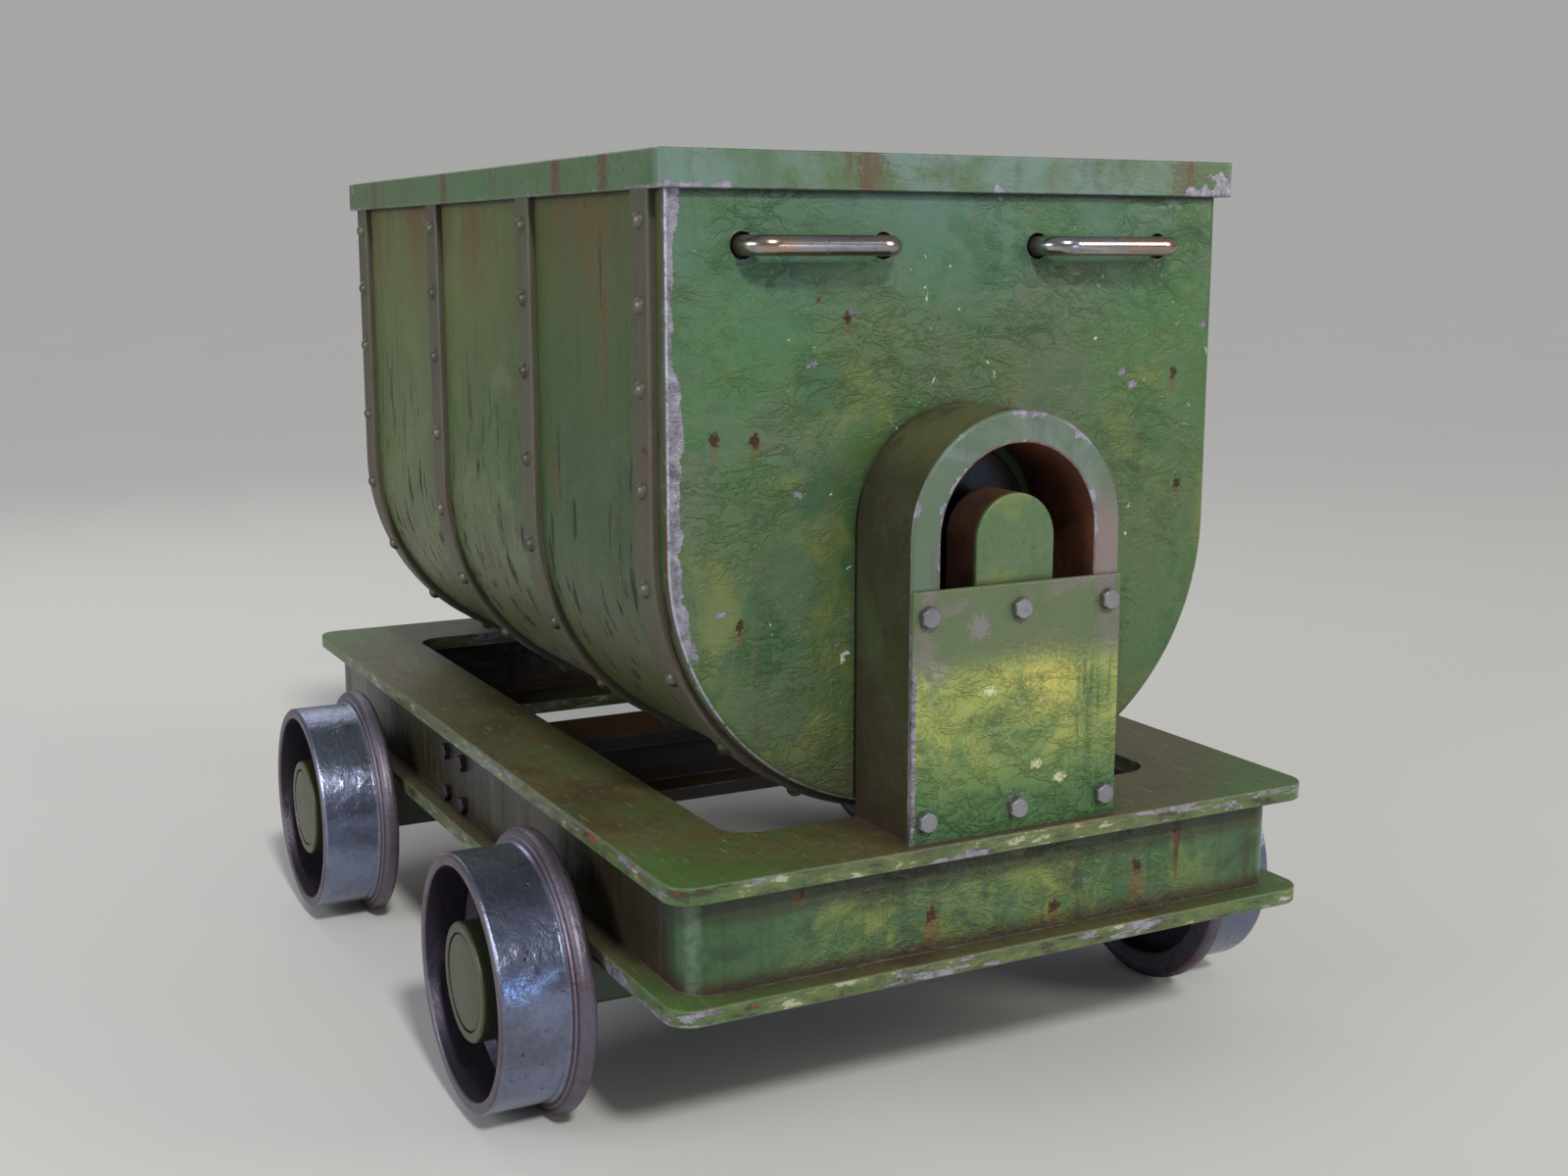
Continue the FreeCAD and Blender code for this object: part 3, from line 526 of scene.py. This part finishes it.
def rim_paint():
    f = Paint("rim_paint", srgb(80, 100, 62), srgb(76, 108, 72), shift=4)
    front = f.x.ramp(0.66, 0.68)
    f.patches(srgb(66, 110, 58), 0.7, scale=6)
    f.patches(srgb(108, 132, 126), 0.75, scale=7, low=0.4, high=0.6, shift=29, where=front)
    f.wrinkles(0.0008, f.noise(5, 3, shift=4).ramp(0.4, 0.6))
    f.brushed(0.0006, stretch=(40, 40, 12), dirt=0.25)
    # Rusty bands across the bar, where it has rubbed.
    across_front = f.blots([(0, y, 0) for y in (-0.142, 0.343)], (0, 0.022, 0)) * front
    side_bands = f.blots([(x, 0, 0) for x in (-0.132, 0.352, 0.515, -0.52)], (0.019, 0, 0))
    across_sides = side_bands * (1.0 - front)
    stain = f.noise(1.0, 4, 0.6, stretch=(30, 30, 8), shift=7).ramp(0.3, 0.6)
    f.wash(srgb(88, 60, 38), (across_front + across_sides) * (stain * 0.6 + 0.3))
    f.streaks(RUST_BROWN, 0.7, scale=24, low=0.62, high=0.70, length=4)
    f.rust_spots(0.7)
    f.dirt_and_corner_shade(0.03, 0.7)
    # More bare metal at the corners and along the lower edge.
    corner = (f.y.abs() + f.x.abs()).ramp(0.94, 1.12)
    lower = f.z.ramp(TUB_TOP - 0.030, TUB_TOP - 0.046)
    patchy = f.noise(16, 6, 0.7, shift=25) + corner * 0.14 + lower * 0.12
    f.worn(0.008, 1.1, flecks=0.4, extra=patchy.ramp(0.62, 0.74) * 0.62)
    return f.close(0.0025)


def rib_finish():
    f = Paint("rib_finish", srgb(76, 78, 58), srgb(76, 66, 54), shift=6, gloss=(0.4, 0.65))
    f.patches(srgb(72, 82, 56), 0.6, scale=8)
    f.brushed(0.0004, stretch=(60, 60, 5), dirt=0.4)
    f.streaks(RUST, 0.5, scale=14, low=0.6, high=0.7, length=2)
    f.rust_spots(0.8)
    f.dirt_and_corner_shade(0.02, 0.9)
    f.wash(srgb(146, 124, 122), f.edges(0.004) * f.ragged.ramp(0.25, 0.5) * 0.75)
    f.worn(0.0025, 1.0, flecks=0.3)
    return f.close(0.003)


# ---------------------------------------------------------------- finishes of the frame

def frame_plate_paint():
    f = Paint("frame_plate_paint", srgb(84, 90, 52), srgb(88, 80, 48), shift=8, gloss=(0.26, 0.5))
    normal_z = f.normal()[2]
    upper = normal_z.ramp(0.4, 0.8)
    edge_face = 1.0 - normal_z.abs().ramp(0.3, 0.7)
    # Brown and green on the flat, darker to the rear, fresh green at the corners.
    f.patches(srgb(68, 56, 34), 0.75, scale=4, where=upper)
    f.patches(srgb(64, 100, 48), 0.5, scale=5, where=upper, shift=13)
    f.wash(srgb(58, 48, 30), f.x.ramp(0.35, 0.0) * upper * 0.45)
    corner = (f.x.abs() + f.y.abs()).ramp(1.02, 1.25)
    f.wash(srgb(66, 108, 52), corner * f.ragged.ramp(0.2, 0.6) * 0.75)
    # Splinters of several colours along the plate's edge.
    f.wash(srgb(70, 92, 54), edge_face * 0.7)
    shards = f.noise(1.0, 5, 0.68, stretch=(20, 20, 60), twist=0.2, shift=15)
    f.wash(srgb(108, 118, 64), shards.ramp(0.45, 0.58) * edge_face * 0.6)
    f.wash(srgb(176, 180, 156), shards.ramp(0.60, 0.64) * edge_face * 0.7)
    f.wash(srgb(60, 40, 34), shards.ramp(0.42, 0.38) * edge_face * 0.8)
    f.brushed(0.0004, stretch=(9, 60, 60), dirt=0.25)
    scratches = f.noise(1.0, 3, 0.5, stretch=(30, 240, 30), shift=37, twist=0.3).ramp(0.64, 0.68)
    f.wash(srgb(136, 140, 96), scratches * upper * 0.45)
    f.rust_spots(1.0, scale=34)
    f.streaks(RUST_RED, 0.8, scale=13, low=0.62, high=0.68, where=edge_face, length=13)
    f.dirt_and_corner_shade(0.09, 0.9, srgb(50, 32, 20))
    patchy = f.noise(1.0, 6, 0.72, stretch=(10, 10, 50), shift=25) + edge_face * 0.10
    f.worn(0.007, 1.15, extra=patchy.ramp(0.62, 0.68) * edge_face * 0.6)
    return f.close(0.0025)


def frame_web_paint():
    f = Paint("frame_web_paint", srgb(48, 82, 46), srgb(60, 92, 54), shift=10, gloss=(0.22, 0.42))
    end_wall = f.x.abs().ramp(WEB_HIGH.x - 0.075, WEB_HIGH.x - 0.030)
    side_wall = 1.0 - end_wall
    middle = f.y.abs().ramp(0.40, 0.16) * end_wall
    # The end walls: green with yellow in the middle, in creased paint.
    f.patches(srgb(124, 134, 60), 0.75, scale=12, low=0.46, high=0.62, where=middle)
    f.patches(srgb(96, 112, 78), 0.6, scale=6, where=end_wall, shift=13)
    f.patches(srgb(36, 60, 38), 0.7, scale=11, low=0.5, high=0.64, where=end_wall, shift=15)
    folds = f.wrinkles(0.0014, middle)
    f.wash(srgb(140, 150, 84), folds * middle * 0.2)
    # A dark band along the top of the end walls, under the top plate: painted shade.
    f.wash(srgb(44, 44, 26), f.z.ramp(0.345, 0.362) * end_wall * 0.7)
    # The side walls: dark and dirty.
    f.wash(srgb(44, 32, 18), side_wall * 0.9)
    f.brushed(0.0006, stretch=(45, 45, 4), dirt=0.4)
    f.streaks(srgb(40, 30, 20), 0.85, scale=22, low=0.5, high=0.7, where=side_wall, length=2)
    f.streaks(srgb(96, 96, 66), 0.35, scale=30, low=0.56, high=0.7, where=side_wall, length=3, shift=36)
    f.streaks(RUST_DARK, 0.8, scale=18, low=0.6, high=0.68, where=end_wall, length=2.4, shift=39)
    rust_y_z = ((-0.113, 0.318), (0.076, 0.296), (0.211, 0.33))
    f.weeping_rust(rust_y_z, (0.008, 0.010), (0.012, 0.034), 0.022, 0.7, end_wall)
    f.rust_spots(1.0)
    f.wash(srgb(60, 36, 22), f.z.ramp(0.296, 0.270) * (f.ragged * 0.8 + 0.4))
    f.dirt_and_corner_shade(0.07, 0.9, srgb(44, 30, 22))
    # A pale strip on the rounded corners: worn paint, and a painted highlight on the curve.
    outermost = WEB_HIGH.x + WEB_HIGH.y
    corner = (f.x.abs() + f.y.abs()).ramp(outermost - 0.028, outermost - 0.020)
    f.wash(srgb(132, 160, 140), corner * f.ragged.ramp(0.3, 0.55) * 0.5)
    f.worn(0.006, 1.0, flecks=0.55)
    f.wash(srgb(48, 36, 36), inside_web(f) * 0.9)
    return f.close()


def pedestal_paint():
    # The darker olive-brown base colours stay on the flanks as painted shade; the faces are washed pale
    # green.
    f = Paint("pedestal_paint", srgb(62, 58, 36), srgb(54, 50, 32), shift=12)
    face = f.normal()[0].abs().ramp(0.4, 0.7)
    around = 1.0 - face
    radius = arch_radius(f)
    # Green faces that turn pink low on the left; the flanks keep the darker olive-brown base as painted
    # shade.
    f.patches(srgb(70, 92, 54), 0.6, scale=5, where=around)
    f.wash(srgb(88, 108, 84), face * 0.9)
    f.patches(srgb(112, 124, 120), 0.7, scale=9, low=0.45, high=0.65, where=face, shift=14)
    f.wash(srgb(136, 110, 116), face * f.y.ramp(0.06, 0.13) * f.z.ramp(0.88, 0.78) * 0.7)
    # Paler towards the top of the flanks: painted light from above.
    f.wash(srgb(92, 92, 56), f.z.ramp(0.86, 0.93) * around * 0.7)
    f.brushed(0.0006, stretch=(50, 50, 5), dirt=0.3)
    f.streaks(srgb(46, 36, 24), 0.7, scale=18, low=0.5, high=0.7, where=around)
    f.rust_spots(0.9)
    # The arch's inside is rusty.
    tunnel = radius.ramp(ARCH_INNER_R + 0.004, ARCH_INNER_R + 0.001)
    rusty = f.mix(f.noise(9, 6, 0.65, shift=27).ramp(0.35, 0.65), srgb(84, 46, 30), srgb(122, 68, 40))
    f.swap(tunnel, rusty, 0.75)
    f.wash(srgb(58, 40, 26), f.z.ramp(0.50, 0.42) * (f.ragged + 0.2) * 0.8)
    f.dirt_and_corner_shade(0.08, 0.9, srgb(46, 34, 22))
    outer_edge = radius.ramp(ARCH_OUTER_R - 0.017, ARCH_OUTER_R)
    inner_edge = radius.ramp(ARCH_INNER_R + 0.014, ARCH_INNER_R + 0.002)
    patchy = f.noise(14, 6, 0.7, shift=25) + outer_edge.maximum(inner_edge) * 0.14
    f.worn(0.008, 1.25, flecks=0.5, extra=patchy.ramp(0.62, 0.70) * face * 0.6)
    return f.close(0.003)


def block_paint():
    f = Paint("block_paint", srgb(82, 104, 66), srgb(76, 106, 62), shift=14)
    f.patches(srgb(120, 130, 60), 0.5, scale=12)
    f.brushed(0.0003, dirt=0.2)
    face = f.x.abs().ramp(BLOCK_HIGH.x - 0.016, BLOCK_HIGH.x - 0.009)
    rusty = f.mix(f.noise(12, 6, 0.65, shift=27).ramp(0.35, 0.65), srgb(84, 56, 38), srgb(58, 38, 28))
    f.swap(1.0 - face, rusty, 0.7)
    f.rust_spots(0.8)
    f.dirt_and_corner_shade(0.05, 0.9)
    f.worn(0.006, 1.0, flecks=0.6)
    return f.close(0.002)


def cover_paint():
    f = Paint("cover_paint", srgb(72, 108, 58), srgb(84, 116, 64), shift=16, gloss=(0.2, 0.4))
    low = COVER_LOW.z
    span = COVER_HIGH.z - low
    upper = f.z.ramp(low + 0.62 * span, low + 0.76 * span)
    foot = f.z.ramp(low + 0.22 * span, low)
    belt = (1.0 - upper) * f.z.ramp(low + 0.12 * span, low + 0.45 * span)
    # Yellow round a golden middle, grey-green above, dark green at the foot.
    middle = f.blot((0, 0.035, low + 0.60 * span), (0, 0.085, 0.06), soft=1.6)
    cloud = f.noise(11, 5, 0.6, twist=0.8, shift=5)
    f.wash(srgb(158, 166, 84), cloud.ramp(0.30, 0.60) * belt * 0.85)
    f.wash(srgb(204, 186, 88), middle * cloud.ramp(0.28, 0.52))
    f.wash(srgb(96, 98, 72), upper * 0.6)
    f.patches(srgb(122, 106, 112), 0.6, scale=14, low=0.48, high=0.64, where=upper, shift=21)
    f.wash(srgb(54, 92, 46), foot * 0.75)
    # Creased paint, with strokes of a brush down the left edge.
    folds = f.wrinkles(0.0023, 1.0 - upper * 0.9)
    f.wash(srgb(190, 192, 124), folds * belt * 0.2)
    strokes = f.y.ramp(0.05, 0.11) * (1.0 - upper)
    brush = f.noise(1.0, 3, 0.5, stretch=(90, 90, 5), shift=28)
    f.height = f.height + brush * strokes * 0.003
    f.wash(srgb(52, 88, 48), brush.ramp(0.52, 0.62) * strokes * 0.5)
    lilac_y_z = ((-0.06, 0.685), (-0.12, 0.63), (0.0, 0.45))
    f.wash(srgb(140, 126, 140), f.end_blots(lilac_y_z, 0.016, 0.018) * 0.45)
    f.rust_spots(0.7, scale=34)
    f.streaks(RUST_DARK, 0.6, scale=20, low=0.62, high=0.7, where=foot, length=8)
    f.dirt_and_corner_shade(0.018, 0.8)
    right_edge = f.y.ramp(COVER_LOW.y + 0.016, COVER_LOW.y) * f.z.ramp(0.75, 0.6)
    f.worn(0.005, 1.1, flecks=0.5, extra=right_edge * (f.ragged + 0.35) * 0.75)
    splash_y_z = ((-0.043, 0.603), (0.066, 0.478), (0.03, 0.50))
    f.wash(srgb(206, 208, 160), f.end_blots(splash_y_z, 0.010, 0.007) * 0.8)
    return f.close(0.002)


def cross_member_finish():
    f = Paint("cross_member_finish", srgb(52, 48, 50), srgb(60, 50, 46), shift=18, gloss=(0.4, 0.7))
    top = f.normal()[2].ramp(0.4, 0.8)
    f.wash(srgb(92, 66, 38), top * 0.85)
    f.patches(srgb(110, 84, 50), 0.6, scale=8, where=top)
    f.rust_spots(1.0)
    f.dirt_and_corner_shade(0.06, 0.8)
    f.worn(0.007, 1.0)
    return f.close(0.002)


def axle_beam_paint():
    f = Paint("axle_beam_paint", srgb(48, 68, 44), srgb(54, 62, 40), shift=20)
    f.patches(RUST_DARK, 0.6, scale=7)
    f.brushed(0.0003, stretch=(20, 20, 20), dirt=0.4)
    f.rust_spots(1.0)
    f.dirt_and_corner_shade(0.09, 0.9)
    f.worn(0.008, 0.9, flecks=0.3)
    return f.close(0.002)


# ---------------------------------------------------------------- finishes of the wheels

def wheel_iron():
    # The iron's bluish tint is partly a painted reflection of the cool light.
    f = Paint("wheel_iron", srgb(140, 150, 182), srgb(116, 122, 146), shift=22, gloss=(0.18, 0.30))
    f.metallic = 0.9
    radius = wheel_radius(f)
    tread = radius.ramp(0.1690, 0.1705) * radius.ramp(0.1760, 0.1735)
    off_tread = 1.0 - tread
    recess = radius.ramp(0.1565, 0.1545)
    # Only the tread is polished by the rails.
    f.wash(srgb(104, 88, 92), off_tread * 0.7)
    f.wash(srgb(60, 54, 68), recess * 0.75)
    f.patches(srgb(100, 54, 38), 0.6, scale=13, where=off_tread * (1.0 - recess), shift=16)
    f.patches(srgb(88, 74, 70), 0.35, scale=9)
    f.patches(srgb(66, 50, 44), 0.6, scale=14, low=0.62, high=0.72, shift=14)
    smear = f.noise(44, 5, 0.62, twist=0.8, shift=6)
    pits = f.cells(34, shift=9).ramp(0.10, 0.05)
    f.height = smear * 0.0012 + f.noise(110, 3, 0.6, shift=7) * 0.0003 - pits * 0.0009
    f.wash(srgb(40, 34, 34), pits * 0.6)
    f.roughness = f.blend(tread, f.roughness + 0.22, f.roughness)
    f.rust_spots(0.8, scale=34)
    f.dirt_and_corner_shade(0.05, 0.85, srgb(44, 32, 30))
    rough = f.noise(34, 5, 0.7, shift=61)
    worn = (f.edges(0.006) * (rough + 0.35)).ramp(0.25, 0.6)
    f.wash(srgb(160, 138, 146), worn * 0.8)
    return f.close(0.002)


def hub_paint():
    f = Paint("hub_paint", srgb(60, 64, 34), srgb(54, 58, 32), shift=24)
    face = f.y.abs().ramp(HUB_FACE_Y - 0.006, HUB_FACE_Y)
    f.wash(srgb(40, 56, 42), (1.0 - face) * 0.75)
    f.brushed(0.0002, stretch=(40, 40, 40), dirt=0.3)
    f.rust_spots(0.8)
    f.dirt_and_corner_shade(0.02, 0.9)
    f.worn(0.004, 0.9, flecks=0.3)
    return f.close(0.0015)


# ---------------------------------------------------------------- bare metals and rubber

def bare_steel(name, light, dark, gloss, rust_amount, shift):
    f = Paint(name, light, dark, shift=shift, gloss=gloss)
    f.metallic = 0.8
    f.height = f.noise(90, 4, 0.6, shift=shift) * 0.0002
    f.patches(srgb(92, 66, 48), rust_amount, scale=22)
    f.rust_spots(rust_amount, scale=50)
    f.dirt_and_corner_shade(0.012, 0.85)
    f.wash(faded(light), f.edges(0.0012) * 0.7)
    return f.close(0.0004)


def bolt_steel():
    return bare_steel("bolt_steel", srgb(150, 148, 152), srgb(116, 114, 120), (0.3, 0.5), 0.35, shift=28)


def dark_steel():
    return bare_steel("dark_steel", srgb(70, 68, 72), srgb(52, 46, 46), (0.35, 0.6), 0.7, shift=30)


def rivet_steel():
    return bare_steel("rivet_steel", srgb(112, 110, 96), srgb(84, 80, 68), (0.35, 0.55), 0.5, shift=32)


def handle_steel():
    f = Paint("handle_steel", srgb(176, 172, 172), srgb(150, 144, 148), shift=26, gloss=(0.16, 0.30))
    f.metallic = 1.0
    turning = f.noise(1.0, 4, 0.6, stretch=(60, 4, 60), shift=3)
    f.height = turning * 0.0003
    legs = f.x.abs().ramp(TUB_END + 0.030, TUB_END + 0.004)
    f.wash(srgb(92, 74, 62), legs * 0.8)
    f.wash(srgb(196, 150, 96), f.noise(7, 3, shift=12).ramp(0.5, 0.62) * 0.5)
    f.wash(srgb(120, 116, 126), turning.ramp(0.55, 0.62) * 0.5)
    f.roughness = f.blend(legs, f.roughness, 0.55)
    f.rust_spots(0.6, scale=60)
    return f.close()


def bronze():
    f = Finish("bronze")
    colour = f.mix(f.noise(30, 4), srgb(176, 132, 70), srgb(120, 86, 48))
    return f.done(colour, 0.38, f.noise(300, 2) * 0.0001, metallic=1.0)


def rubber():
    f = Finish("seal_rubber")
    colour = f.mix(f.noise(60, 4), srgb(30, 29, 28), srgb(44, 40, 36))
    return f.done(colour, 0.75, f.noise(400, 2) * 0.0001)


def liner_steel():
    f = Finish("liner_steel")
    colour, relief = scoured_steel(f)
    return f.done(colour, 0.55, relief, metallic=0.4)


def finish_nodes():
    """Gives every node of the frame its finish, by the longest key that its name starts with."""
    bolts = bolt_steel()
    hidden_steel = dark_steel()
    rivets = rivet_steel()
    plates = frame_plate_paint()
    materials = {
        "end_plate": end_plate_paint(),
        "tub_skin": side_paint(),
        "rim": rim_paint(),
        "rib": rib_finish(),
        "frame_top_plate": plates,
        "frame_bottom_plate": plates,
        "frame_web": frame_web_paint(),
        "pedestal": pedestal_paint(),
        "bearing_block": block_paint(),
        "cover_plate": cover_paint(),
        "cross_member": cross_member_finish(),
        "axle_beam": axle_beam_paint(),
        "wheel": wheel_iron(),
        "hub": hub_paint(),
        "handle": handle_steel(),
        "wheel_bush": bronze(),
        "trunnion_bush": bronze(),
        "seal": rubber(),
        "rivets": rivets,
        "tub_liner": liner_steel(),
        "cover_bolts": bolts,
        "cross_member_bolts": hidden_steel,
        "handle_nuts": hidden_steel,
        "axle_nuts": hidden_steel,
        "axle": hidden_steel,
        "trunnion": hidden_steel,
    }
    for name, node in frame["nodes"].items():
        key = max((k for k in materials if name.startswith(k)), key=len)
        node.data.materials.clear()
        node.data.materials.append(materials[key])


# ---------------------------------------------------------------- studio

FLOOR_HALF = 30.0
LIT_BY = (0.78, 0.80, 0.84, 1.0)
LIT_STRENGTH = 0.30
BACKDROP = (0.385, 0.385, 0.38, 1.0)
CART_MIDDLE = (0, 0, 0.6)
NEAR_WHEEL = (WHEEL_X, -0.55, WHEEL_Z)


def link(item):
    bpy.context.scene.collection.objects.link(item)


def facing(direction):
    """The rotation of a lamp or camera that looks along the direction."""
    return Vector(direction).to_track_quat("-Z", "Y").to_euler()


def add_sun(direction, strength, spread_degrees, colour):
    data = bpy.data.lights.new("soft_key", "SUN")
    data.energy = strength
    data.angle = math.radians(spread_degrees)
    data.color = colour
    lamp = bpy.data.objects.new("soft_key", data)
    lamp.rotation_euler = facing(direction)
    link(lamp)


def add_area_light(name, place, target, size, power, colour):
    data = bpy.data.lights.new(name, "AREA")
    data.shape = "RECTANGLE"
    data.size, data.size_y = size
    data.energy = power
    data.color = colour
    lamp = bpy.data.objects.new(name, data)
    lamp.location = place
    lamp.rotation_euler = facing(Vector(target) - Vector(place))
    link(lamp)


def floor_material():
    f = Finish("studio_floor")
    colour = f.mix(f.noise(0.8, 3), srgb(208, 207, 205), srgb(213, 212, 210))
    return f.done(colour, 0.8, f.noise(120, 2) * 0.0001)


def add_floor():
    corners = [(x * FLOOR_HALF, y * FLOOR_HALF, 0) for x, y in ((-1, -1), (1, -1), (1, 1), (-1, 1))]
    mesh = bpy.data.meshes.new("studio_floor")
    mesh.from_pydata(corners, [], [(0, 1, 2, 3)])
    floor = bpy.data.objects.new("studio_floor", mesh)
    floor.data.materials.append(floor_material())
    link(floor)


def add_world():
    """Soft light from all round; the camera sees a plain grey backdrop instead."""
    world = bpy.data.worlds.new("studio")
    world.use_nodes = True
    tree = world.node_tree
    lit = tree.nodes["Background"]
    lit.inputs["Color"].default_value = LIT_BY
    lit.inputs["Strength"].default_value = LIT_STRENGTH
    seen = tree.nodes.new("ShaderNodeBackground")
    seen.inputs["Color"].default_value = BACKDROP
    path = tree.nodes.new("ShaderNodeLightPath")
    either = tree.nodes.new("ShaderNodeMixShader")
    tree.links.new(path.outputs["Is Camera Ray"], either.inputs["Fac"])
    tree.links.new(lit.outputs["Background"], either.inputs[1])
    tree.links.new(seen.outputs["Background"], either.inputs[2])
    tree.links.new(either.outputs["Shader"], tree.nodes["World Output"].inputs["Surface"])
    bpy.context.scene.world = world


def studio():
    add_floor()
    add_world()
    add_sun((-0.72, 0.10, -0.62), 1.85, 6, (1.0, 0.98, 0.94))
    add_area_light("warm", (4.2, 3.9, 2.9), CART_MIDDLE, (1.8, 2.2), 92, (1.0, 0.93, 0.80))
    add_area_light("fill", (0.8, -5.8, 2.5), CART_MIDDLE, (3.2, 2.0), 125, (0.92, 0.96, 1.0))
    add_area_light("rear", (-4.4, -0.6, 3.8), CART_MIDDLE, (3.2, 3.2), 38, (1.0, 0.98, 0.95))
    add_area_light("cool", (5.4, 1.6, 0.9), NEAR_WHEEL, (0.8, 0.5), 21, (0.46, 0.66, 1.0))
    bpy.context.scene.view_settings.view_transform = "Standard"


def camera():
    data = bpy.data.cameras.new("camera")
    data.sensor_width = 36.0
    data.lens = 42.41
    cam = bpy.data.objects.new("camera", data)
    cam.location = (2.6742, -1.3054, 1.1372)
    cam.rotation_euler = facing((-0.8715, 0.4568, -0.1785))
    link(cam)
    bpy.context.scene.camera = cam


camera()
studio()
finish_nodes()
